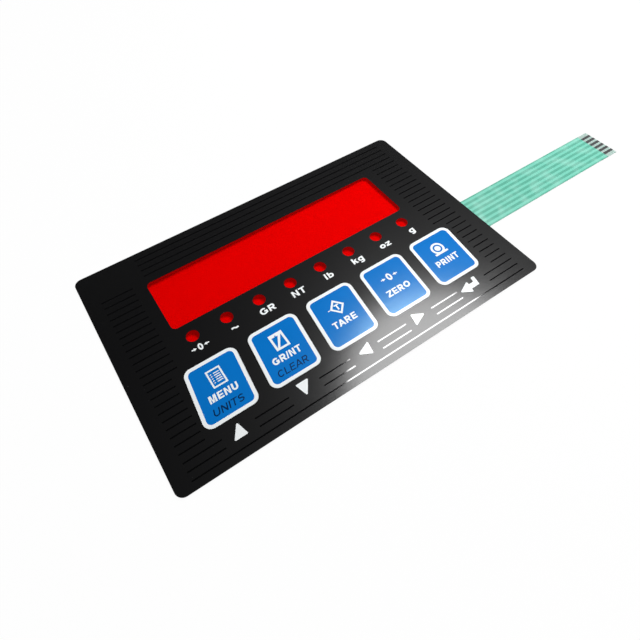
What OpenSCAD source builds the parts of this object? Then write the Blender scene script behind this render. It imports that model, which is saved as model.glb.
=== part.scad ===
// Membrane keypad: a thin stack of films with five keys, a display window and a flat tail.
// Origin at the middle of the rear face. X runs right to the tail, Y up to the display, Z out of the front.

/* [Keys] */
// Width of a key over its border
key_w = 20.3; // [14:0.1:30]
// Height of a key over its border
key_h = 24.1; // [16:0.1:34]
// Gap between neighbouring keys
key_gap = 4.9; // [3:0.1:12]
// Lean of the keys from upright, in degrees
key_lean = 6.2; // [0:0.1:12]
// Corner radius of a key
key_r = 3.1; // [1.5:0.1:5]
// Width of the border round a key face
key_border = 1.35; // [0.6:0.05:2.5]
// Shift of the key row to the right
key_shift = 0.55; // [-3:0.05:3]
// Travel of a key
key_travel = 0.3; // [0.1:0.05:0.8]
// Gap between a moving key and the film around it
key_clear = 0.1; // [0.05:0.01:0.3]
// How much wider the pocket under a key is than the key, all round
pocket_clear = 0.5; // [0.2:0.1:1]

/* [Panel] */
// Panel beside the key row, on each side
side_w = 16.95; // [12:0.05:40]
// Panel above the display window
header_h = 17.35; // [8:0.05:40]
// Panel from the window down to the indicator centres
led_drop = 6.2; // [4:0.1:12]
// Panel from the indicator centres down to the keys
key_drop = 11.7; // [7:0.1:30]
// Panel below the keys
foot_h = 14.15; // [10:0.05:30]
// Corner radius of the panel
panel_r = 3; // [1:0.1:8]
// How far the layers stop short of the overlay's edge
layer_inset = 0.4; // [0.1:0.1:2]

/* [Windows] */
// Width of the display window
window_w = 108; // [60:0.5:125]
// Height of the display window
window_h = 26; // [12:0.5:40]
// Corner radius of the display window
window_r = 2; // [0.5:0.1:5]
// Diameter of an indicator window
led_d = 5; // [2:0.1:7]
// Spacing of the indicator windows
led_pitch = 14; // [9:0.1:16]
// How much wider the openings in the layers are than the windows, all round
window_relief = 0.5; // [0.2:0.1:1.5]

/* [Marks and stripes] */
// Length of a triangle mark, along its pointing direction
mark_l = 5.4; // [3:0.1:7]
// Width of a triangle mark, across its pointing direction
mark_w = 5.1; // [4.5:0.1:7]
// Depth of the marks' centres below the keys
mark_drop = 4.9; // [3.5:0.1:8]
// Shift of the marks to the left of the key centres
mark_shift = 2.2; // [0:0.1:4]
// Lean of the marks from upright, in degrees
mark_lean = 10.8; // [0:0.1:15]
// Corner radius of the marks
mark_r = 0.35; // [0.1:0.05:0.5]
// Length of the enter arrow
enter_l = 9; // [7.7:0.1:11]
// Length of the enter arrow's head
enter_head = 5; // [3:0.1:5.8]
// Thickness of the enter arrow's bar
enter_bar = 2.1; // [1:0.1:2.8]
// Width of the enter arrow's rising arm
enter_arm = 1.6; // [1.2:0.1:2]
// Height of that arm above the middle of the bar
enter_rise = 3; // [2.5:0.1:4]
// Shift of the enter arrow to the left of the place that the other marks take
enter_shift = 0.7; // [0:0.1:2]
// Depth of the enter arrow below the other marks
enter_drop = 0.7; // [0:0.1:1.5]
// Spacing of the stripes
stripe_pitch = 3.2; // [2:0.1:8]
// Thickness of a stripe
stripe_w = 0.5; // [0.2:0.05:1]
// Distance from the bottom edge to the lowest stripe
stripe_foot = 3.1; // [2:0.1:6]
// Distance from the side edges to the stripes
stripe_side = 5.8; // [3:0.1:12]
// Distance from the stripes to the keys, and to the window above and below
stripe_clear = 2.5; // [1:0.1:4]
// Distance from the stripes to the sides of the window
window_clear = 5; // [2:0.1:8]
// Distance from the stripes to the marks beside them
mark_clear = 3.4; // [1:0.1:5]
// Width of the bare corner at the top left
corner_w = 24.5; // [10:0.5:60]

/* [Tail] */
// Length of the tail beyond the panel
tail_l = 84; // [40:1:200]
// Spacing of the tail's lines
line_pitch = 2.54; // [1:0.01:3]
// Width of a line on the tail
line_w = 1.3; // [0.4:0.1:1.8]
// Depth of the tail's middle below the top of the keys
tail_drop = 2.1; // [-2:0.1:10]
// Bare length of the contacts at the tail's end
contact_l = 6; // [3:0.5:12]
// Length of the stiffener behind the contacts
stiffener_l = 10; // [6:0.5:30]
// Radius of the fillets where the tail leaves the panel
tail_r = 2; // [0.5:0.1:4]

/* [Domes] */
// Diameter over the feet of a dome
dome_d = 12; // [6:0.5:14]
// Thickness of the dome's metal
dome_t = 0.06; // [0.04:0.01:0.12]
// Gap between a dome and the hole that holds it
dome_clear = 0.3; // [0.1:0.05:1]
// Gap between a dome's top and the key
dome_gap = 0.02; // [0.01:0.01:0.1]
// Width of the slot that vents the domes
vent_w = 1.5; // [0.5:0.1:4]
// Diameter of the middle contact pad
pad_d = 4; // [2:0.1:5]
// Width of the ring pad under a dome's feet
ring_w = 1.2; // [0.6:0.1:2]
// Width of a trace on the panel
trace_w = 0.8; // [0.3:0.1:1]
// Spacing of the traces on the panel
trace_pitch = 1.5; // [1.1:0.1:1.7]

/* [Layers] */
// Release liner
liner_t = 0.1; // [0.05:0.01:0.2]
// Rear adhesive
adhesive_t = 0.13; // [0.05:0.01:0.3]
// Circuit film
circuit_t = 0.18; // [0.1:0.01:0.3]
// Silver ink
ink_t = 0.02; // [0.01:0.005:0.03]
// Green coat, over the film
coat_t = 0.04; // [0.035:0.005:0.08]
// Dome retainer
retainer_t = 0.2; // [0.1:0.01:0.3]
// Air left under a key that is pressed right down
stop_gap = 0.05; // [0.02:0.01:0.2]
// Overlay film
overlay_t = 0.2; // [0.1:0.01:0.4]
// Print and lacquer on the overlay
print_t = 0.02; // [0.01:0.005:0.05]
// Tail stiffener
stiffener_t = 0.18; // [0.05:0.01:0.2]

/* [Hidden] */

$fn = 64;
// Steps in each rounded corner
corner_steps = 8;
// Overshoot of cutting shapes
cut = 1;
// Smallest corner radius left after an inset
least_r = 0.2;

// Counts that the layout fixes
key_count = 5;
led_count = 8;
line_count = key_count + 1;

// Panel size, from what it carries
key_pitch = key_w + key_gap;
panel_w = key_count * key_pitch - key_gap + 2 * side_w;
panel_h = header_h + window_h + led_drop + key_drop + key_h + foot_h;

// Heights on the panel
panel_top = panel_h / 2;
window_top = panel_top - header_h;
window_y = window_top - window_h / 2;
led_y = window_top - window_h - led_drop;
key_top = led_y - key_drop;
key_y = key_top - key_h / 2;
key_foot = key_top - key_h;
mark_y = key_foot - mark_drop;
panel_foot = -panel_top;

// Levels of the layers, from the rear face up
z_adhesive = liner_t;
z_circuit = z_adhesive + adhesive_t;
z_ink = z_circuit + circuit_t;
z_retainer = z_ink + coat_t;
z_spacer = z_retainer + retainer_t;
spacer_t = key_travel + stop_gap;
z_overlay = z_spacer + spacer_t;
z_print = z_overlay + overlay_t;

// Tail: the lines with half a spacing of margin at each side
tail_w = (line_count + 1) * line_pitch;
tail_y = key_top - tail_drop;
tail_end = panel_w / 2 + tail_l;
function line_y(i) = tail_y + ((line_count - 1) / 2 - i) * line_pitch;

// Domes stand on the pads and reach up to the keys
z_dome = z_ink + ink_t;
dome_h = z_overlay - dome_gap - z_dome;
dome_hole_d = dome_d + 2 * dome_clear;
ring_d = dome_d + dome_clear;

// Centre of a key, halfway up
function key_x(i) = key_shift + (i - (key_count - 1) / 2) * key_pitch;
// Centre of an indicator window
function led_x(i) = (i - (led_count - 1) / 2) * led_pitch;
// Centre of a mark
function mark_x(i) = key_x(i) - mark_shift;

// Moves points sideways by a lean from upright
function leaning(points, angle) = [for (p = points) [p[0] + p[1] * tan(angle), p[1]]];
function unit(v) = v / norm(v);
function corners(w, h) = [[-w / 2, -h / 2], [w / 2, -h / 2], [w / 2, h / 2], [-w / 2, h / 2]];

// Outline, given anticlockwise, with each corner rounded by an arc, inner corners too
function rounded(points, r) =
    let (n = len(points))
    [
        for (i = [0 : n - 1])
            let (
                back = unit(points[(i + n - 1) % n] - points[i]),
                ahead = unit(points[(i + 1) % n] - points[i]),
                half = acos(back * ahead) / 2,
                centre = points[i] + unit(back + ahead) * r / sin(half),
                first = points[i] + back * r / tan(half) - centre,
                start = atan2(first[1], first[0]),
                turn = sign(back[1] * ahead[0] - back[0] * ahead[1])
            )
            for (k = [0 : corner_steps])
                let (a = start + turn * (180 - 2 * half) * k / corner_steps)
                centre + r * [cos(a), sin(a)]
    ];

// Key outline, grown all round or shrunk by a negative amount
function key_outline(grow) =
    rounded(
        leaning(corners(key_w + 2 * grow / cos(key_lean), key_h + 2 * grow), key_lean),
        max(key_r + grow, least_r)
    );

module key_shape(i, grow) {
    translate([key_x(i), key_y])
        polygon(key_outline(grow));
}

module panel_shape(inset) {
    polygon(rounded(corners(panel_w - 2 * inset, panel_h - 2 * inset), max(panel_r - inset, least_r)));
}

module window_shape(grow) {
    translate([0, window_y])
        polygon(rounded(corners(window_w + 2 * grow, window_h + 2 * grow), window_r + grow));
}

module led_shapes(grow) {
    for (i = [0 : led_count - 1])
        translate([led_x(i), led_y])
            circle(d = led_d + 2 * grow);
}

// Openings behind the windows, the same in every layer
module light_openings() {
    window_shape(window_relief);
    led_shapes(window_relief);
}

// One layer of the stack under the overlay, with its openings
module layer_shape() {
    difference() {
        panel_shape(layer_inset);
        light_openings();
    }
}

module sheet(z, t) {
    translate([0, 0, z])
        linear_extrude(t)
            children();
}

// Strip from one point to another, level or upright
module strip(from, to, w) {
    low = [min(from[0], to[0]) - w / 2, min(from[1], to[1]) - w / 2];
    translate(low)
        square([abs(from[0] - to[0]) + w, abs(from[1] - to[1]) + w]);
}

// Tail in plan, from inside the panel to a given end, with fillets where it leaves the panel
module tail_shape(end) {
    root = panel_w / 2 - layer_inset;
    translate([root - panel_r, tail_y - tail_w / 2])
        square([end - root + panel_r, tail_w]);
    for (side = [-1, 1])
        translate([root, tail_y + side * tail_w / 2])
            difference() {
                translate([0, side > 0 ? 0 : -tail_r])
                    square(tail_r);
                translate([tail_r, side * tail_r])
                    circle(tail_r);
            }
}

// Contact ring under a dome, open at the top for the middle pad's trace
module ring_pad() {
    difference() {
        circle(d = ring_d);
        circle(d = ring_d - 2 * ring_w);
        translate([-trace_pitch, 0])
            square([2 * trace_pitch, ring_d]);
    }
}

// Line of one key: up from its pad, along above the keys, and down to its place on the tail
module key_line(i) {
    lane_y = key_top + (key_count - i) * trace_pitch;
    turn_x = panel_w / 2 - layer_inset - panel_r - (i + 1) * trace_pitch;
    translate([key_x(i), key_y])
        circle(d = pad_d);
    strip([key_x(i), key_y], [key_x(i), lane_y], trace_w);
    strip([key_x(i), lane_y], [turn_x, lane_y], trace_w);
    strip([turn_x, lane_y], [turn_x, line_y(i)], trace_w);
    strip([turn_x, line_y(i)], [panel_w / 2, line_y(i)], trace_w);
}

// Common line: a bus under the keys that joins the rings and rises to the last place on the tail
module common_line() {
    bus_y = key_foot - trace_pitch;
    turn_x = panel_w / 2 - layer_inset - panel_r - trace_pitch;
    last = line_y(line_count - 1);
    for (i = [0 : key_count - 1]) {
        translate([key_x(i), key_y])
            ring_pad();
        strip([key_x(i), key_y - ring_d / 2 + ring_w / 2], [key_x(i), bus_y], trace_w);
    }
    strip([key_x(0), bus_y], [turn_x, bus_y], trace_w);
    strip([turn_x, bus_y], [turn_x, last], trace_w);
    strip([turn_x, last], [panel_w / 2, last], trace_w);
}

// Straight runs of the lines on the tail, from the panel's edge to a given end
module tail_lines(end) {
    for (i = [0 : line_count - 1])
        translate([panel_w / 2, line_y(i) - line_w / 2])
            square([end - panel_w / 2, line_w]);
}

module trace_shapes() {
    for (i = [0 : key_count - 1])
        key_line(i);
    common_line();
    tail_lines(tail_end);
}

module release_liner() {
    color("#d9cda8")
        sheet(0, liner_t)
            layer_shape();
}

module rear_adhesive() {
    color("#e6e0c8")
        sheet(z_adhesive, adhesive_t)
            layer_shape();
}

// Clear film that carries the circuit, in one piece with its tail
module circuit_film() {
    color("#cfe6dc")
        sheet(z_circuit, circuit_t) {
            layer_shape();
            tail_shape(tail_end);
        }
}

module silver_traces() {
    color("#b9bec2")
        sheet(z_ink, ink_t)
            trace_shapes();
}

// Coat over the traces, open over the pads and the contacts, and standing up in bands along the tail
module dielectric_coat() {
    coat_end = tail_end - contact_l;
    color("#7fd3b8") {
        difference() {
            sheet(z_ink, coat_t)
                difference() {
                    union() {
                        layer_shape();
                        tail_shape(coat_end);
                    }
                    for (i = [0 : key_count - 1])
                        translate([key_x(i), key_y])
                            circle(d = dome_hole_d);
                }
            sheet(z_ink - cut, ink_t + cut)
                trace_shapes();
        }
        sheet(z_ink + coat_t, ink_t)
            intersection() {
                tail_lines(coat_end);
                translate([panel_w / 2 + tail_r, tail_y - tail_w / 2])
                    square([tail_l, tail_w]);
            }
    }
}

module carbon_contacts() {
    color("#26282a")
        sheet(z_ink + ink_t, print_t)
            difference() {
                tail_lines(tail_end);
                tail_lines(tail_end - contact_l);
            }
}

module tail_stiffener() {
    color("#e8ecee")
        sheet(z_circuit - stiffener_t, stiffener_t)
            translate([tail_end - stiffener_l, tail_y - tail_w / 2])
                square([stiffener_l, tail_w]);
}

module dome_retainer() {
    color("#eef0ea")
        sheet(z_retainer, retainer_t)
            difference() {
                layer_shape();
                for (i = [0 : key_count - 1])
                    translate([key_x(i), key_y])
                        circle(d = dome_hole_d);
                translate([key_x(0), key_y - vent_w / 2])
                    square([key_x(key_count - 1) - key_x(0), vent_w]);
            }
}

// Four-footed dome: a shallow cap cut square, so that it stands on its corners
module snap_dome(i) {
    a = dome_d / 2;
    rise = dome_h - dome_t;
    steps = 6;
    side = dome_d * cos(45);
    under = [for (k = [0 : steps]) [a * k / steps, rise * (1 - pow(k / steps, 2))]];
    over = [for (k = [steps : -1 : 0]) under[k] + [0, dome_t]];
    color("#c8ccd0")
        translate([key_x(i), key_y, z_dome])
            intersection() {
                rotate_extrude()
                    polygon(concat(under, over));
                translate([-side / 2, -side / 2, 0])
                    cube([side, side, dome_h]);
            }
}

// Spacer with a pocket that leaves each key free to go down
module spacer() {
    color("#f2f2ee")
        sheet(z_spacer, spacer_t)
            difference() {
                layer_shape();
                for (i = [0 : key_count - 1])
                    key_shape(i, pocket_clear);
            }
}

module overlay() {
    color("#1a1b1c")
        sheet(z_overlay, overlay_t)
            difference() {
                panel_shape(0);
                window_shape(0);
                led_shapes(0);
                for (i = [0 : key_count - 1])
                    key_shape(i, key_clear);
            }
}

module display_window() {
    color("#dc0606")
        sheet(z_overlay, overlay_t)
            window_shape(0);
}

module indicator_windows() {
    color("#c80808")
        sheet(z_overlay, overlay_t)
            led_shapes(0);
}

module key_border(i) {
    color("#f6f8fa")
        sheet(z_overlay, overlay_t)
            difference() {
                key_shape(i, 0);
                key_shape(i, -key_border);
            }
}

module key_face(i) {
    color("#0b74cc")
        sheet(z_overlay, overlay_t)
            key_shape(i, -key_border);
}

// Level stripe between two places
module stripe(y, from, to) {
    if (to > from)
        translate([from, y - stripe_w / 2])
            square([to - from, stripe_w]);
}

// Stripes fill the panel around the windows, the keys and the marks
module gloss_stripes() {
    reach = panel_w / 2 - stripe_side;
    beside_window = window_w / 2 + window_clear;
    key_left = key_x(0) - key_w / 2 - stripe_clear;
    key_right = key_x(key_count - 1) + key_w / 2 + stripe_clear;
    last = key_count - 1;
    color("#0a0a0b")
        sheet(z_print, print_t)
            for (y = [panel_foot + stripe_foot : stripe_pitch : panel_top - stripe_foot]) {
                if (y > window_top + stripe_clear) {
                    stripe(y, corner_w - panel_w / 2, reach);
                } else if (y > key_top + stripe_clear) {
                    stripe(y, -reach, -beside_window);
                    stripe(y, beside_window, reach);
                } else if (y > key_foot - stripe_clear) {
                    stripe(y, -reach, key_left);
                    stripe(y, key_right, reach);
                } else if (y > mark_y - mark_w / 2 - stripe_clear) {
                    stripe(y, -reach, mark_x(0) - mark_l / 2 - mark_clear);
                    for (i = [1 : last])
                        stripe(
                            y,
                            mark_x(i - 1) + mark_l / 2 + mark_clear,
                            mark_x(i) - mark_l / 2 - mark_clear
                        );
                    stripe(y, mark_x(last) + enter_l / 2 + mark_clear, reach);
                } else {
                    stripe(y, -reach, reach);
                }
            }
}

// Leaning triangle that points along X, turned to its direction
module triangle_mark(turn) {
    points = [[-mark_l / 2, -mark_w / 2], [mark_l / 2, 0], [-mark_l / 2, mark_w / 2]];
    turned = [for (p = points) [p[0] * cos(turn) - p[1] * sin(turn), p[0] * sin(turn) + p[1] * cos(turn)]];
    polygon(rounded(leaning(turned, mark_lean), mark_r));
}

// Enter arrow: a head that points left on a bar that rises at its right end
module enter_mark() {
    tip = -enter_l / 2;
    heel = tip + enter_head;
    head = mark_w / 2;
    bar = enter_bar / 2;
    end = enter_l / 2;
    inner = end - enter_arm;
    points = [
        [tip, 0], [heel, -head], [heel, -bar], [end, -bar], [end, enter_rise],
        [inner, enter_rise], [inner, bar], [heel, bar], [heel, head]
    ];
    polygon(rounded(leaning(points, mark_lean), mark_r));
}

module printed_marks() {
    turns = [90, -90, 180, 0];
    color("#ffffff")
        sheet(z_print, print_t) {
            for (i = [0 : len(turns) - 1])
                translate([mark_x(i), mark_y])
                    triangle_mark(turns[i]);
            translate([mark_x(key_count - 1) - enter_shift, mark_y - enter_drop])
                enter_mark();
        }
}

release_liner();
rear_adhesive();
circuit_film();
silver_traces();
dielectric_coat();
carbon_contacts();
tail_stiffener();
dome_retainer();
snap_dome(0);  // snap_dome_1
snap_dome(1);  // snap_dome_2
snap_dome(2);  // snap_dome_3
snap_dome(3);  // snap_dome_4
snap_dome(4);  // snap_dome_5
spacer();
overlay();
display_window();
indicator_windows();
key_border(0);  // key_border_1
key_border(1);  // key_border_2
key_border(2);  // key_border_3
key_border(3);  // key_border_4
key_border(4);  // key_border_5
key_face(0);  // key_face_1
key_face(1);  // key_face_2
key_face(2);  // key_face_3
key_face(3);  // key_face_4
key_face(4);  // key_face_5
gloss_stripes();
printed_marks();
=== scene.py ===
# Membrane keypad: finishes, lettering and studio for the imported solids.

import math

import bpy
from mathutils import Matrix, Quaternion, Vector


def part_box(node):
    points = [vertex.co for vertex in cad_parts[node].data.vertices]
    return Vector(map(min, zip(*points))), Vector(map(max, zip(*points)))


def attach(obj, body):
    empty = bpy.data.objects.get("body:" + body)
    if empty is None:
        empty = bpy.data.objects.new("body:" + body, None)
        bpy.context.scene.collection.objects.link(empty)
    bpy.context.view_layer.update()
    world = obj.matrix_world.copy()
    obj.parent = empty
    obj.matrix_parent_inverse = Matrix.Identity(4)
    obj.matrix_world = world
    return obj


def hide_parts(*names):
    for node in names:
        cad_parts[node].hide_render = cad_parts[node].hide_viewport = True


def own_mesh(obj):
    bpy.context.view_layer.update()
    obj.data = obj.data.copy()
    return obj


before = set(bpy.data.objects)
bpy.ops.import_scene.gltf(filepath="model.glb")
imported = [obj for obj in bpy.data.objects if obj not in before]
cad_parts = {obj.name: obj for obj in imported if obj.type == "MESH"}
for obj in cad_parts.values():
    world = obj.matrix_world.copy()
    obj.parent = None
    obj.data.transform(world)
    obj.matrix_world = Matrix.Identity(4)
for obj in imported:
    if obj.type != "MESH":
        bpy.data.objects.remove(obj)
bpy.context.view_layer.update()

MM = 0.001
KEY_COUNT = 5

# Keys and lettering share the panel's lean to the right
LEAN = math.radians(6.2)

# Print stands this far above the film that carries it
PRINT_T = 0.02 * MM


# Placing and shaping

def deselect():
    bpy.ops.object.select_all(action="DESELECT")


def pick(piece):
    """Makes one piece the only one selected."""
    deselect()
    piece.select_set(True)
    bpy.context.view_layer.objects.active = piece


def edit(piece):
    """Opens one piece for shaping, with all of it selected."""
    pick(piece)
    bpy.ops.object.mode_set(mode="EDIT")
    bpy.ops.mesh.select_all(action="SELECT")


def done():
    bpy.ops.object.mode_set(mode="OBJECT")


def settle(piece):
    """Puts a piece's place, turn and size into its mesh."""
    pick(piece)
    bpy.ops.object.transform_apply(location=True, rotation=True, scale=True)


def finish_with(piece, kind, **settings):
    """Adds a modifier with its settings and applies it."""
    modifier = piece.modifiers.new(kind.lower(), kind)
    for name, value in settings.items():
        setattr(modifier, name, value)
    pick(piece)
    bpy.ops.object.modifier_apply(modifier=modifier.name)


def joined(name, parts):
    """One piece from several, under a new name."""
    deselect()
    for part in parts:
        part.select_set(True)
    bpy.context.view_layer.objects.active = parts[0]
    if len(parts) > 1:
        bpy.ops.object.join()
    piece = bpy.context.object
    piece.name = name
    piece.data.name = name
    return piece


# Flat shapes for print, in millimetres until they are laid on the film

# Corners of a full disc, and the turn from point to point along an arc, in degrees
DISC_CORNERS = 48
ARC_STEP = 15


def patch(points):
    """Flat face with the given corners, facing up."""
    deselect()
    bpy.ops.mesh.primitive_circle_add(vertices=len(points), fill_type="NGON")
    piece = bpy.context.object
    for vertex, (x, y) in zip(piece.data.vertices, points):
        vertex.co = (x, y, 0)
    edit(piece)
    bpy.ops.mesh.normals_make_consistent(inside=False)
    done()
    if piece.data.polygons[0].normal.z < 0:
        piece.data.flip_normals()
    return piece


def block(x, y, w, h):
    """Flat rectangle with its middle at a point."""
    left, right = x - w / 2, x + w / 2
    foot, top = y - h / 2, y + h / 2
    return patch([(left, foot), (right, foot), (right, top), (left, top)])


def hollow(piece, line):
    """Leaves only a line's width round the edge of a flat face."""
    edit(piece)
    bpy.ops.mesh.inset(thickness=line)
    bpy.ops.mesh.delete(type="FACE")
    done()
    return piece


def disc(x, y, radius):
    """Flat round face with its middle at a point."""
    deselect()
    bpy.ops.mesh.primitive_circle_add(vertices=DISC_CORNERS, radius=radius, fill_type="NGON",
                                      location=(x, y, 0))
    piece = bpy.context.object
    settle(piece)
    return piece


def arc(x, y, across, up, start, stop):
    """Points along part of an oval round a middle, from one angle to another."""
    steps = max(2, round(abs(stop - start) / ARC_STEP))
    angles = [math.radians(start + (stop - start) * k / steps) for k in range(steps + 1)]
    return [(x + across * math.cos(angle), y + up * math.sin(angle)) for angle in angles]


def band(points, width):
    """Flat strip of one width along a line of points, mitred at its bends."""
    places = [Vector(point) for point in points]
    ways = [(after - before).normalized() for before, after in zip(places, places[1:])]
    left, right = [], []
    for place, before, after in zip(places, ways[:1] + ways, ways + ways[-1:]):
        way = (before + after).normalized()
        side = Vector((-way.y, way.x)) * width / 2 / way.dot(after)
        left.append(place + side)
        right.append(place - side)
    return patch(right + left[::-1])


def alphabet(t):
    """Plain bold letters, each with its width and its shapes, in units of a capital's height.

    A line is drawn with a stroke of thickness t, a ring is an outline of that thickness, a face is filled.
    """
    half = t / 2
    # Level strokes are a little thinner than upright ones
    bar = 0.85 * t
    # Height of the small letters
    low = 0.73
    # Edges of an upright stem
    left = 0.1
    inner = left + t
    stem = ("line", [(left + half, 0), (left + half, 1)])
    # Half height of each bowl of an S, to the middle of its stroke
    bowl = (1 - t) / 4
    # The last point of a ring stops one step short of its first
    ring_end = 360 - ARC_STEP

    # Half width of the top of an A, and the heights of its crossbar's edges
    apex = 0.55 * t
    cross, cross_top = 0.2, 0.2 + bar

    def leg(y):
        """Inner edge of the left leg of an A."""
        return 2 * apex + y * (0.5 - apex)

    # Foot of the arm of a k, and where its leg starts
    fork, knee = 0.22, 0.38

    def arm(x):
        """Lower edge of the arm of a k."""
        return fork + (x - inner) * (low - fork) / (0.78 - inner)

    def zed(top, right):
        return [
            (0.03, 0), (right, 0), (right, bar), (0.05 + 1.3 * t, bar), (right, top - bar), (right, top),
            (0.05, top), (0.05, top - bar), (right - 1.3 * t, top - bar), (0.03, bar),
        ]

    return {
        "A": (1, [
            ("face", [
                (0, 0), (leg(0), 0), (0.5, (0.5 - leg(0)) / (0.5 - apex)), (1 - leg(0), 0), (1, 0),
                (0.5 + apex, 1), (0.5 - apex, 1),
            ]),
            ("face", [
                (leg(cross), cross), (1 - leg(cross), cross),
                (1 - leg(cross_top), cross_top), (leg(cross_top), cross_top),
            ]),
        ]),
        "C": (1, [("line", arc(0.52, 0.5, 0.46 - half, 0.5 - half, 42, 318))]),
        "E": (0.92, [("face", [
            (left, 0), (0.86, 0), (0.86, bar), (inner, bar), (inner, 0.58 - bar), (0.8, 0.58 - bar),
            (0.8, 0.58), (inner, 0.58), (inner, 1 - bar), (0.84, 1 - bar), (0.84, 1), (left, 1),
        ])]),
        "G": (1.08, [("line", arc(0.53, 0.5, 0.47 - half, 0.5 - half, 42, 300) + [
            (0.98 - half, 0.22), (0.98 - half, 0.46), (0.58, 0.46),
        ])]),
        "I": (2 * left + t, [stem]),
        "L": (0.84, [("face", [(left, 0), (0.8, 0), (0.8, bar), (inner, bar), (inner, 1), (left, 1)])]),
        "M": (1.16, [("face", [
            (left, 0), (inner, 0), (inner, 0.76), (0.58 - half, 0), (0.58 + half, 0), (1.06 - t, 0.76),
            (1.06 - t, 0), (1.06, 0), (1.06, 1), (1.06 - 1.4 * t, 1), (0.58, 0.3), (left + 1.4 * t, 1),
            (left, 1),
        ])]),
        "N": (1, [("face", [
            (left, 0), (inner, 0), (inner, 0.69), (0.9 - t, 0), (0.9, 0), (0.9, 1), (0.9 - t, 1),
            (0.9 - t, 0.31), (inner, 1), (left, 1),
        ])]),
        "O": (1.08, [("ring", arc(0.54, 0.5, 0.48, 0.5, 0, ring_end))]),
        "P": (0.92, [stem, ("line", [
            (inner, 1 - half),
            *arc(0.56, 0.71 - half / 2, 0.3 - half, 0.29 - half / 2, 90, -90),
            (inner, 0.42),
        ])]),
        "R": (1, [
            stem,
            ("line", [
                (inner, 1 - half),
                *arc(0.6, 0.72 - half / 2, 0.3 - half, 0.28 - half / 2, 90, -90),
                (inner, 0.44),
            ]),
            ("face", [
                (0.96 - 1.25 * t, 0), (0.96, 0), (0.45 + 1.2 * t, 0.44 - half), (0.45, 0.44 - half),
            ]),
        ]),
        "S": (0.92, [("line", [
            *arc(0.46, 1 - half - bowl, 0.37 - half, bowl, 28, 270),
            *arc(0.46, half + bowl, 0.39 - half, bowl, 90, -152)[1:],
        ])]),
        "T": (0.86, [("face", [
            (0.43 - half, 0), (0.43 + half, 0), (0.43 + half, 1 - bar), (0.83, 1 - bar), (0.83, 1),
            (0.03, 1), (0.03, 1 - bar), (0.43 - half, 1 - bar),
        ])]),
        "U": (1, [("line", [
            (left + half, 1), *arc(0.5, 0.38, 0.4 - half, 0.38 - half, 180, 360), (0.9 - half, 1),
        ])]),
        "Z": (0.86, [("face", zed(1, 0.83))]),
        "/": (0.4, [("face", [(0, 0), (bar, 0), (0.4, 1), (0.4 - bar, 1)])]),
        "0": (0.78, [("ring", arc(0.39, 0.5, 0.34, 0.5, 0, ring_end))]),
        "b": (0.88, [stem, ("line", [
            (inner, low - half), *arc(0.44, low / 2, 0.38 - half, low / 2 - half, 90, -90), (inner, half),
        ])]),
        "g": (0.88, [
            ("line", [(0.78 - half, -0.08), (0.78 - half, low)]),
            ("line", [
                (0.78 - t, low - half),
                *arc(0.44, low / 2, 0.38 - half, low / 2 - half, 90, 270),
                (0.78 - t, half),
            ]),
            ("line", arc(0.43, -0.08, 0.35 - half, 0.24 - half, 0, -150)),
        ]),
        "k": (0.82, [
            stem,
            ("face", [(inner, fork), (0.78, low), (0.78 - 1.35 * t, low), (inner, fork + 1.3 * t)]),
            ("face", [
                (knee, arm(knee)), (0.82 - 1.3 * t, 0), (0.82, 0), (knee + 0.8 * t, arm(knee + 0.8 * t)),
            ]),
        ]),
        "l": (2 * left + t, [stem]),
        "o": (0.86, [("ring", arc(0.43, low / 2, 0.38, low / 2, 0, ring_end))]),
        "z": (0.74, [("face", zed(low, 0.71))]),
        "~": (1.1, [("line", [
            (0.05 + k / 12, 0.45 + 0.07 * math.sin(math.pi * k / 6)) for k in range(13)
        ])]),
    }


def letters(words, x, y, height, lean, stroke, width):
    """Words of a given width with their middle at a point, in leaning capitals of a height and stroke."""
    shapes = alphabet(stroke / height)
    parts = []
    pen = 0
    for letter in words:
        advance, drawn = shapes[letter]
        for kind, points in drawn:
            spread = []
            for across, up in points:
                rise = up - 0.5
                spread.append(((pen + across + rise * math.tan(lean)) * height, rise * height))
            if kind == "line":
                parts.append(band(spread, stroke))
            elif kind == "ring":
                parts.append(hollow(patch(spread), stroke))
            else:
                parts.append(patch(spread))
        pen += advance
    piece = joined("words", parts)
    reach = [vertex.co.x for vertex in piece.data.vertices]
    stretch = width / (max(reach) - min(reach))
    piece.scale = (stretch, 1, 1)
    piece.location = (x - stretch * (max(reach) + min(reach)) / 2, y, 0)
    settle(piece)
    return piece


def lay(name, parts, x, y, z, body, slot, material):
    """Prints flat shapes on the film: joins them, gives them the print's thickness and places them."""
    piece = joined(name, parts)
    piece.scale = (MM, MM, MM)
    piece.location = (x, y, z)
    settle(piece)
    finish_with(piece, "SOLIDIFY", thickness=PRINT_T, offset=1)
    piece.data.materials.clear()
    piece.data.materials.append(material)
    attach(piece, body)
    return piece


# Finishes

POLYESTER_IOR = 1.58

# Printed film has a fine tooth, about 0.1 mm on the real film: drawn coarser here, so that it shows
FILM_GRAIN = 0.55 * MM
FILM_TOOTH = 0.0018 * MM
FILM_ROUGH = (0.15, 0.175)
# Roughness of the wide haze round a lamp's patch of sheen
HAZE_ROUGH = 0.44

# Distances over which a finish drifts: its roughness, printed ink, and plain colour
ROUGH_DRIFT = 22 * MM
INK_DRIFT = 6 * MM
COLOUR_DRIFT = 9 * MM


def linear(hex_colour):
    """Linear colour, with alpha, from an sRGB hex value."""
    shares = [int(hex_colour[k:k + 2], 16) / 255 for k in (1, 3, 5)]
    return [s / 12.92 if s <= 0.04045 else ((s + 0.055) / 1.055) ** 2.4 for s in shares] + [1]


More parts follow.
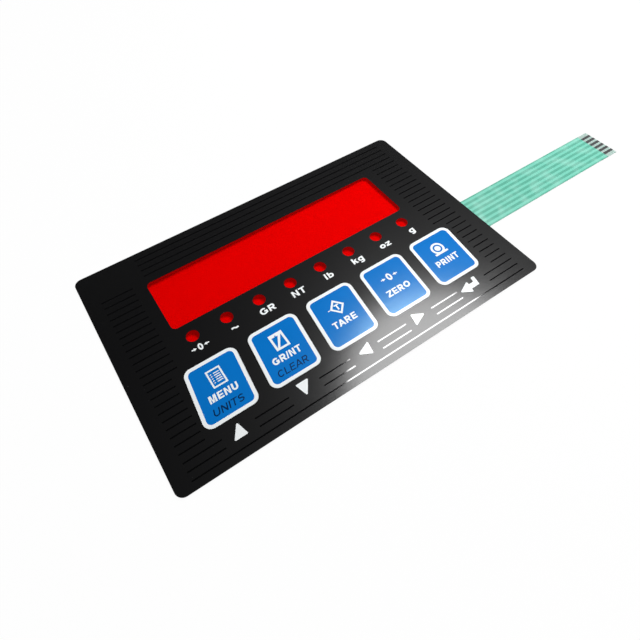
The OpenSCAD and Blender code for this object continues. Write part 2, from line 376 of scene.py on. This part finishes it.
def add(tree, kind, settings=None, links=None):
    """Adds a node: settings fill its properties or inputs, links feed its inputs from other nodes."""
    node = tree.nodes.new("ShaderNode" + kind)
    for name, value in (settings or {}).items():
        if isinstance(name, int) or name in node.inputs:
            node.inputs[name].default_value = value
        else:
            setattr(node, name, value)
    for name, source in (links or {}).items():
        tree.links.new(source, node.inputs[name])
    return node


def material_of(name, settings):
    """New material whose constants sit on its shader's own sockets."""
    material = bpy.data.materials.new(name)
    material.use_nodes = True
    shader = material.node_tree.nodes["Principled BSDF"]
    for socket, value in settings.items():
        shader.inputs[socket].default_value = value
    return material, material.node_tree, shader


def noise(tree, place, size, detail):
    """Noise with features of a real size, on the piece's own coordinates."""
    return add(tree, "TexNoise", {"Scale": 1 / size, "Detail": detail}, {"Vector": place.outputs["Object"]})


def grain(tree, shader, size, depth, rough):
    """Fine even tooth: a bump of a grain size and depth, and a roughness that drifts within a range."""
    place = add(tree, "TexCoord")
    tooth = noise(tree, place, size, 2)
    bump = add(tree, "Bump", {"Strength": 1, "Distance": depth}, {"Height": tooth.outputs["Fac"]})
    tree.links.new(bump.outputs["Normal"], shader.inputs["Normal"])
    drift = noise(tree, place, ROUGH_DRIFT, 3)
    spread = add(tree, "MapRange", {"To Min": rough[0], "To Max": rough[1]},
                 {"Value": drift.outputs["Fac"]})
    tree.links.new(spread.outputs["Result"], shader.inputs["Roughness"])
    return place


def tinted(tree, shader, place, colour, deepest, size, detail):
    """Colour that drifts from place to place, down to a share of itself."""
    cloud = noise(tree, place, size, detail)
    deep = [c * deepest for c in linear(colour)[:3]] + [1]
    tint = add(tree, "Mix", {"data_type": "RGBA", 6: deep, 7: linear(colour)}, {0: cloud.outputs["Fac"]})
    tree.links.new(tint.outputs[2], shader.inputs["Base Color"])


def see_through(tree, shader, colour, body_share):
    """Lets light of one colour through, apart from the share that the film's own body takes."""
    clear = add(tree, "BsdfTransparent", {"Color": linear(colour)})
    body = add(tree, "MixShader", {0: body_share}, {1: clear.outputs[0], 2: shader.outputs[0]})
    tree.links.new(body.outputs[0], tree.nodes["Material Output"].inputs["Surface"])


def film(name, colour, level, haze=0, sheen="#ffffff"):
    """Printed film: its sheen is a soft patch, with a share of haze that spreads much wider."""
    material, tree, shader = material_of(name, {
        "IOR": POLYESTER_IOR, "Specular IOR Level": level, "Specular Tint": linear(sheen),
        "Coat Weight": haze, "Coat Roughness": HAZE_ROUGH,
    })
    place = grain(tree, shader, FILM_GRAIN, FILM_TOOTH, FILM_ROUGH)
    # The ink varies by a few percent, as screen print does
    tinted(tree, shader, place, colour, deepest=0.92, size=INK_DRIFT, detail=3)
    return material


def build_black_film():
    # Textured polyester, printed black on its rear: a soft patch of sheen in a wide grey haze
    return film("textured_polyester_black", "#0d0d0e", level=0.25, haze=0.18)


def build_blue_film():
    # Textured polyester, printed blue on its rear: clear colour, which its soft sheen hardly reddens
    return film("textured_polyester_blue", "#0875cb", level=0.29, sheen="#d6ffff")


def build_white_ink():
    # Screen ink: flat white with a slight tooth of its own
    return film("screen_ink_white", "#fafeff", level=0.28)


def build_dark_ink():
    # Screen ink: navy that is nearly black, thin enough to follow the film's tooth
    return film("screen_ink_navy", "#092c54", level=0.28)


def build_red_film():
    # Transparent dyed polyester: white behind it shows as clear red, with a smooth shine on top
    material, tree, shader = material_of("dyed_polyester_red", {
        "Base Color": linear("#fc0304"), "IOR": POLYESTER_IOR, "Specular IOR Level": 0.38,
    })
    grain(tree, shader, FILM_GRAIN, FILM_TOOTH / 4, (0.14, 0.18))
    see_through(tree, shader, "#f90c06", body_share=0.12)
    return material


def build_gloss_lacquer():
    # Clear gloss lacquer over black: mirrors a lamp as a sharp white line, and is black elsewhere
    material, tree, shader = material_of("gloss_lacquer_black", {
        "Base Color": linear("#020203"), "IOR": 1.65, "Specular IOR Level": 0.7,
    })
    grain(tree, shader, 1.5 * MM, 0.0004 * MM, (0.05, 0.08))
    return material


def build_green_coat(tail_middle, line_pitch):
    # Green dielectric coat: deeper over each line of silver ink, paler between the lines
    over_line, between = "#52a48e", "#70c5af"
    # Handling leaves the coat a little paler in patches
    worn_colour, worn_size = "#a9dccd", 7 * MM
    # Noise at which the wear starts and is full, and the share it then takes
    worn_start, worn_full, worn_share = 0.45, 0.8, 0.5
    # How softly a line's edge shows, in parts of the wave that runs across the lines
    edge = 0.35
    material, tree, shader = material_of("dielectric_ink_green", {"IOR": 1.5})
    place = grain(tree, shader, 0.8 * MM, 0.003 * MM, (0.28, 0.36))
    spot = add(tree, "SeparateXYZ", None, {0: place.outputs["Object"]})
    up = add(tree, "Math", {"operation": "SUBTRACT", 1: tail_middle}, {0: spot.outputs["Y"]})
    turn = add(tree, "Math", {"operation": "MULTIPLY", 1: 2 * math.pi / line_pitch}, {0: up.outputs[0]})
    wave = add(tree, "Math", {"operation": "COSINE"}, {0: turn.outputs[0]})
    gap = add(tree, "MapRange", {"interpolation_type": "SMOOTHSTEP", "From Min": -edge, "From Max": edge},
              {"Value": wave.outputs[0]})
    tint = add(tree, "Mix", {"data_type": "RGBA", 6: linear(over_line), 7: linear(between)},
               {0: gap.outputs["Result"]})
    cloud = noise(tree, place, worn_size, 5)
    worn = add(tree, "MapRange", {"From Min": worn_start, "From Max": worn_full, "To Max": worn_share},
               {"Value": cloud.outputs["Fac"]})
    pale = add(tree, "Mix", {"data_type": "RGBA", 7: linear(worn_colour)},
               {0: worn.outputs["Result"], 6: tint.outputs[2]})
    tree.links.new(pale.outputs[2], shader.inputs["Base Color"])
    return material


def build_clear_polyester():
    # Clear polyester: what lies behind shows through a faint grey-green body with a smooth shine
    material, tree, shader = material_of("clear_polyester", {
        "Base Color": linear("#d6e6e0"), "IOR": POLYESTER_IOR,
    })
    grain(tree, shader, 0.8 * MM, 0.001 * MM, (0.10, 0.16))
    see_through(tree, shader, "#eef7f3", body_share=0.35)
    return material


def plain_finish(name, colour, rough, grain_mm, tooth_mm, ior=1.5, metallic=0):
    """Finish of one colour that drifts slightly, with a fine tooth."""
    material, tree, shader = material_of(name, {"IOR": ior, "Metallic": metallic})
    place = grain(tree, shader, grain_mm * MM, tooth_mm * MM, rough)
    tinted(tree, shader, place, colour, deepest=0.9, size=COLOUR_DRIFT, detail=4)
    return material


def build_spacer_film(name):
    # Polyester spacers: milky white at their edges
    return plain_finish(name, "#e4e7e2", (0.3, 0.4), grain_mm=0.8, tooth_mm=0.003, ior=POLYESTER_IOR)


tail_low, tail_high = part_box("carbon_contacts")
LINE_PITCH = 2.54 * MM
black_film = build_black_film()
blue_film = build_blue_film()
white_ink = build_white_ink()
dark_ink = build_dark_ink()
red_film = build_red_film()
FINISHES = {
    # Glassine paper: smooth, cream, with a faint cloudiness of fibre
    "release_liner": plain_finish("glassine_paper", "#e2d9bd", (0.40, 0.55), grain_mm=0.9, tooth_mm=0.006),
    # Acrylic adhesive: milky at its edge
    "rear_adhesive": plain_finish("acrylic_adhesive", "#e8e3d2", (0.35, 0.5),
                                  grain_mm=0.7, tooth_mm=0.004, ior=1.47),
    "circuit_film": build_clear_polyester(),
    # Silver ink: dull grey flakes in a binder
    "silver_traces": plain_finish("silver_ink", "#b4b8bb", (0.35, 0.5),
                                  grain_mm=0.4, tooth_mm=0.003, metallic=0.8),
    "dielectric_coat": build_green_coat((tail_low.y + tail_high.y) / 2, LINE_PITCH),
    # Carbon ink: flat black with a soft graphite sheen
    "carbon_contacts": plain_finish("carbon_ink", "#232527", (0.45, 0.6), grain_mm=0.4, tooth_mm=0.004),
    # Polyester stiffener: milky white
    "tail_stiffener": plain_finish("milky_polyester", "#dfe6e8", (0.25, 0.35),
                                   grain_mm=0.8, tooth_mm=0.002, ior=POLYESTER_IOR),
    "dome_retainer": build_spacer_film("spacer_polyester"),
    "spacer": build_spacer_film("spacer_polyester_upper"),
    "overlay": black_film,
    "display_window": red_film,
    "indicator_windows": red_film,
    "gloss_stripes": build_gloss_lacquer(),
    "printed_marks": white_ink,
}
for i in range(1, KEY_COUNT + 1):
    FINISHES[f"key_border_{i}"] = white_ink
    FINISHES[f"key_face_{i}"] = blue_film
for name, material in FINISHES.items():
    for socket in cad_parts[name].material_slots:
        socket.material = material


# Snap domes: one shallow cap, copied to each dome's place under its key, at rest

DOME_T = 0.06 * MM
DOME_SQUARES = 16
# Faces that meet at less than this are shaded as one surface
DOME_SMOOTH = math.radians(30)


def build_domes():
    """Four-footed stainless domes, each a shallow cap that stands on its corners."""
    # Stainless spring steel: bright, with a fine even grain
    steel = plain_finish("spring_steel", "#c9cccf", (0.2, 0.3), grain_mm=0.2, tooth_mm=0.001, metallic=1)
    low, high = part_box("snap_dome_1")
    side = high.x - low.x
    rise = high.z - low.z - DOME_T
    deselect()
    bpy.ops.mesh.primitive_grid_add(x_subdivisions=DOME_SQUARES, y_subdivisions=DOME_SQUARES, size=side)
    first = bpy.context.object
    edit(first)
    bpy.ops.mesh.select_all(action="DESELECT")
    done()
    # The middle is pulled up, and the rest follows it down to the corners
    for vertex in first.data.vertices:
        vertex.select = vertex.co.length < side / 100
    bpy.context.view_layer.objects.active = first
    bpy.ops.object.mode_set(mode="EDIT")
    bpy.ops.transform.translate(value=(0, 0, rise), use_proportional_edit=True,
                                proportional_edit_falloff="INVERSE_SQUARE",
                                proportional_size=side / math.sqrt(2))
    done()
    finish_with(first, "SOLIDIFY", thickness=DOME_T, offset=1)
    pick(first)
    bpy.ops.object.shade_smooth_by_angle(angle=DOME_SMOOTH)
    first.data.materials.append(steel)
    for i in range(1, KEY_COUNT + 1):
        low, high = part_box(f"snap_dome_{i}")
        middle = (low + high) / 2
        piece = bpy.data.objects.new(f"steel_dome_{i}", first.data.copy())
        bpy.context.scene.collection.objects.link(piece)
        piece.location = (middle.x, middle.y, low.z)
        settle(piece)
        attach(piece, "panel")
        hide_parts(f"snap_dome_{i}")
        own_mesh(piece)
    bpy.data.objects.remove(first)


# Lettering on the keys

WORD_H = 2.85
WORD_STROKE = 0.68
SECOND_H = 2.75
SECOND_STROKE = 0.43
SECOND_LEAN = math.radians(13)

# Heights of the icon and the words above the middle of a key
ICON_RISE = 4
WORD_RISE = -2.65
SECOND_RISE = -7.6

# Words and their widths, first key to last
WORDS = [("MENU", 11.1), ("GR/NT", 11.7), ("TARE", 10.2), ("ZERO", 10.9), ("PRINT", 11.3)]
SECOND_WORDS = [("UNITS", 11.4), ("CLEAR", 12.2)]


def list_icon():
    """Sheet with a bullet and a line in each of its rows."""
    w, h, line = 5.5, 7.3, 0.62
    rows, pitch, row_h = 5, 0.9, 0.36
    bullet_x, bullet_w = -1.4, 0.5
    text_x, text_w = 0.65, 2.2
    parts = [hollow(block(0, 0, w, h), line)]
    for k in range(rows):
        y = ((rows - 1) / 2 - k) * pitch
        parts.append(block(bullet_x, y, bullet_w, row_h))
        parts.append(block(text_x, y, text_w, row_h))
    return parts


def box_icon():
    """Box with a notched header and a diagonal across its field."""
    w, h, line, header = 5.6, 7.1, 0.85, 1.45
    side, top, field_top = w / 2, h / 2, h / 2 - header
    inner_side, inner_foot = side - line, line - top
    notch_left, notch_right, notch_top = -0.55, -0.05, field_top + 0.5
    # Width of the diagonal at its foot, and its edges' distances from the right wall at its top
    slash_foot, slash_near, slash_far = 0.9, 0.2, 1.3
    return [
        patch([
            (-side, -top), (side, -top), (side, field_top), (inner_side, field_top),
            (inner_side, inner_foot), (-inner_side, inner_foot), (-inner_side, field_top),
            (-side, field_top),
        ]),
        patch([
            (-side, field_top), (notch_left, field_top), (notch_left, notch_top), (notch_right, notch_top),
            (notch_right, field_top), (side, field_top), (side, top), (-side, top),
        ]),
        patch([
            (-inner_side, inner_foot), (-inner_side + slash_foot, inner_foot),
            (inner_side - slash_near, field_top), (inner_side - slash_far, field_top),
        ]),
    ]


def diamond_icon():
    """Diamond round a letter T, with a short line up to its left corner."""
    middle, half_w, half_h, line = 0.35, 3.15, 3.6, 0.75
    lead_l, lead_w = 0.9, 0.35
    corners = [(-half_w, 0), (0, -half_h), (half_w, 0), (0, half_h)]
    return [
        hollow(patch([(middle + x, y) for x, y in corners]), line),
        letters("T", middle, -0.1, height=2.6, lean=0, stroke=0.7, width=1.9),
        block(middle - half_w - lead_l / 2, 0, lead_l, lead_w),
    ]


def zero_sign(height, width, stroke, arrow_l, arrow_w, tail_l, tail_w, gap):
    """Nought with an arrow pointing at it from each side, at a gap from its middle."""
    parts = [letters("0", 0, 0, height, 0, stroke, width)]
    for side in (-1, 1):
        tip, heel = side * gap, side * (gap + arrow_l)
        parts.append(patch([(tip, 0), (heel, arrow_w / 2), (heel, -arrow_w / 2)]))
        parts.append(block(heel + side * tail_l / 2, 0, tail_l, tail_w))
    return parts


def zero_icon():
    return zero_sign(height=3.5, width=2.3, stroke=0.75, arrow_l=1.35, arrow_w=1.35,
                     tail_l=0.8, tail_w=0.45, gap=1.75)


def roll_icon():
    """Roll of paper: a ring and its core, sunk into a line."""
    outer, ring, core = 2.9, 0.9, 1.3
    foot_l, foot_top, foot_low = 6.3, -2.15, -3.05
    start = math.degrees(math.asin(foot_top / outer))
    bite = arc(0, 0, outer, outer, start, -180 - start)
    return [
        hollow(disc(0, 0, outer), ring),
        disc(0, 0, core),
        patch([(-foot_l / 2, foot_low), (foot_l / 2, foot_low), (foot_l / 2, foot_top), *bite,
               (-foot_l / 2, foot_top)]),
    ]


def build_key_print():
    """Icon and words on each key, along its leaning centre line."""
    icons = [list_icon, box_icon, diamond_icon, zero_icon, roll_icon]
    for i in range(KEY_COUNT):
        low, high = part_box(f"key_face_{i + 1}")
        middle = (low + high) / 2
        body = f"key_{i + 1}"

        def spot(rise):
            """Place on the key's leaning centre line."""
            return middle.x + rise * MM * math.tan(LEAN), middle.y + rise * MM, high.z

        word, width = WORDS[i]
        drawn = letters(word, 0, 0, WORD_H, LEAN, WORD_STROKE, width)
        lay(f"key_word_{i + 1}", [drawn], *spot(WORD_RISE), body, "white_ink", white_ink)
        lay(f"key_icon_{i + 1}", icons[i](), *spot(ICON_RISE), body, "white_ink", white_ink)
        if i < len(SECOND_WORDS):
            word, width = SECOND_WORDS[i]
            drawn = letters(word, 0, 0, SECOND_H, SECOND_LEAN, SECOND_STROKE, width)
            lay(f"key_second_word_{i + 1}", [drawn], *spot(SECOND_RISE), body, "black_film", dark_ink)


# Labels under the indicators

LABEL_H = 2.95
LABEL_STROKE = 0.66
LABEL_LEAN = math.radians(2.5)
# A label's middle is this far below its window's, and this far to the right
LABEL_DROP = 5.65
LABEL_SHIFT = 0.4

# Labels and their widths, first indicator to last
LABELS = [("0", 1.9), ("~", 3), ("GR", 6.4), ("NT", 6), ("lb", 3.8), ("kg", 5.2), ("oz", 5.3), ("g", 2.6)]


def build_labels():
    """One label under each indicator window: the first is the nought with its arrows."""
    low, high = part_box("indicator_windows")
    window_d = high.y - low.y
    pitch = (high.x - low.x - window_d) / (len(LABELS) - 1)
    y = (low.y + high.y) / 2 - LABEL_DROP * MM
    for i, (label, width) in enumerate(LABELS):
        x = low.x + window_d / 2 + i * pitch + LABEL_SHIFT * MM
        if label == "0":
            parts = zero_sign(LABEL_H, width, LABEL_STROKE, arrow_l=1.1, arrow_w=1.3,
                              tail_l=0.9, tail_w=0.45, gap=1.45)
        else:
            parts = [letters(label, 0, 0, LABEL_H, LABEL_LEAN, LABEL_STROKE, width)]
        lay(f"indicator_label_{i + 1}", parts, x, y, high.z, "panel", "white_ink", white_ink)


build_domes()
build_key_print()
build_labels()


# Studio, in metres

# Lens and sensor are in millimetres
CAMERA_LENS = 25.85
CAMERA_SENSOR = 36
CAMERA_NEAREST = 0.005
CAMERA_PLACE = (-0.05594, -0.09882, 0.14359)
CAMERA_TARGET = (-0.00721, -0.02076, 0.0012)
CAMERA_ROLL = math.radians(-2.59)

# One round lamp, up to the right, which faces straight down
LAMP_PLACE = (0.301, 0.059, 0.556)
LAMP_TARGET = (0.301, 0.059, 0)
LAMP_SIZE = 0.356
LAMP_BRIGHTNESS = 17.2
ROOM_LIGHT = 0.02

# Floor out to its cove, the cove's radius and steps, and the wall above it
FLOOR_REACH = 2.0
COVE_R = 0.5
COVE_STEPS = 8
WALL_H = 0.97
# The floor lies just below the part, so that no faces coincide
FLOOR_Z = -0.02 * MM
# Share of the floor's brightness that is its own, seen by the eye alone
FLOOR_GLOW = 0.97

# Well in the floor behind the windows, and the card in it
WELL_MARGIN = 3 * MM
CARD_DEPTH = 0.8 * MM
CARD_TILT = math.radians(-0.4)


def aim(thing, place, target, roll=0):
    """Points a lamp or camera at a target."""
    thing.location = place
    thing.rotation_mode = "QUATERNION"
    towards = (Vector(target) - Vector(place)).to_track_quat("-Z", "Y")
    thing.rotation_quaternion = towards @ Quaternion((0, 0, 1), roll)
    bpy.context.scene.collection.objects.link(thing)


def lamp(name, place, target, size, brightness):
    """Round lamp whose face has the given brightness, where 1 is white."""
    data = bpy.data.lights.new(name, "AREA")
    data.shape = "DISK"
    data.size = size
    data.energy = brightness * math.pi * math.pi * (size / 2) ** 2
    aim(bpy.data.objects.new(name, data), place, target)


def build_camera():
    data = bpy.data.cameras.new("camera")
    data.sensor_width = CAMERA_SENSOR
    data.lens = CAMERA_LENS
    data.clip_start = CAMERA_NEAREST
    camera = bpy.data.objects.new("camera", data)
    aim(camera, CAMERA_PLACE, CAMERA_TARGET, CAMERA_ROLL)
    bpy.context.scene.camera = camera


def white_card(name, glow):
    # White paper: matt, and bright to the eye by the share that glow gives
    material, tree, shader = material_of(name, {
        "Base Color": linear("#f6f6f6"), "Roughness": 0.9, "Specular IOR Level": 0,
    })
    if glow:
        seen = add(tree, "LightPath")
        eye = add(tree, "Math", {"operation": "MAXIMUM"},
                  {0: seen.outputs["Is Camera Ray"], 1: seen.outputs["Is Glossy Ray"]})
        either = add(tree, "Math", {"operation": "MAXIMUM"},
                     {0: eye.outputs[0], 1: seen.outputs["Is Transmission Ray"]})
        share = add(tree, "Math", {"operation": "MULTIPLY", 1: glow}, {0: either.outputs[0]})
        light = add(tree, "Emission")
        mixed = add(tree, "MixShader", None,
                    {0: share.outputs[0], 1: shader.outputs[0], 2: light.outputs[0]})
        tree.links.new(mixed.outputs[0], tree.nodes["Material Output"].inputs["Surface"])
    return material


def build_stage():
    """Floor with a wall that curves up from it, and a card behind the windows, where a display would be."""
    window_low, window_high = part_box("display_window")
    lights_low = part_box("indicator_windows")[0]
    left, right = window_low.x - WELL_MARGIN, window_high.x + WELL_MARGIN
    foot, top = lights_low.y - WELL_MARGIN, window_high.y + WELL_MARGIN
    floor = patch([(left, foot), (right, foot), (right, top), (left, top)])
    floor.name = "floor"
    edit(floor)
    bpy.ops.mesh.delete(type="ONLY_FACE")
    bpy.ops.mesh.select_all(action="SELECT")
    bpy.ops.mesh.extrude_edges_move()
    bpy.ops.transform.resize(value=(2 * FLOOR_REACH / (right - left), 2 * FLOOR_REACH / (top - foot), 1))
    half = FLOOR_REACH
    for k in range(1, COVE_STEPS + 1):
        before, angle = math.pi / 2 * (k - 1) / COVE_STEPS, math.pi / 2 * k / COVE_STEPS
        wider = FLOOR_REACH + COVE_R * math.sin(angle)
        rise = COVE_R * (math.cos(before) - math.cos(angle))
        bpy.ops.mesh.extrude_edges_move(TRANSFORM_OT_translate={"value": (0, 0, rise)})
        bpy.ops.transform.resize(value=(wider / half, wider / half, 1))
        half = wider
    bpy.ops.mesh.extrude_edges_move(TRANSFORM_OT_translate={"value": (0, 0, WALL_H)})
    bpy.ops.mesh.select_all(action="SELECT")
    bpy.ops.mesh.normals_make_consistent(inside=True)
    done()
    floor.location.z = FLOOR_Z
    settle(floor)
    floor.data.materials.append(white_card("studio_paper", FLOOR_GLOW))

    deselect()
    bpy.ops.mesh.primitive_plane_add(size=1, location=((left + right) / 2, (foot + top) / 2, -CARD_DEPTH),
                                     rotation=(0, CARD_TILT, 0))
    card = bpy.context.object
    card.name = "card"
    card.scale = (right - left + 2 * WELL_MARGIN, top - foot + 2 * WELL_MARGIN, 1)
    settle(card)
    card.data.materials.append(white_card("plain_paper", 0))


def build_light():
    world = bpy.data.worlds.new("dim_room")
    world.use_nodes = True
    background = world.node_tree.nodes["Background"]
    background.inputs["Color"].default_value = (1, 1, 1, 1)
    background.inputs["Strength"].default_value = ROOM_LIGHT
    bpy.context.scene.world = world
    lamp("round_lamp", LAMP_PLACE, LAMP_TARGET, LAMP_SIZE, LAMP_BRIGHTNESS)
    bpy.context.scene.view_settings.view_transform = "Standard"


build_camera()
build_stage()
build_light()
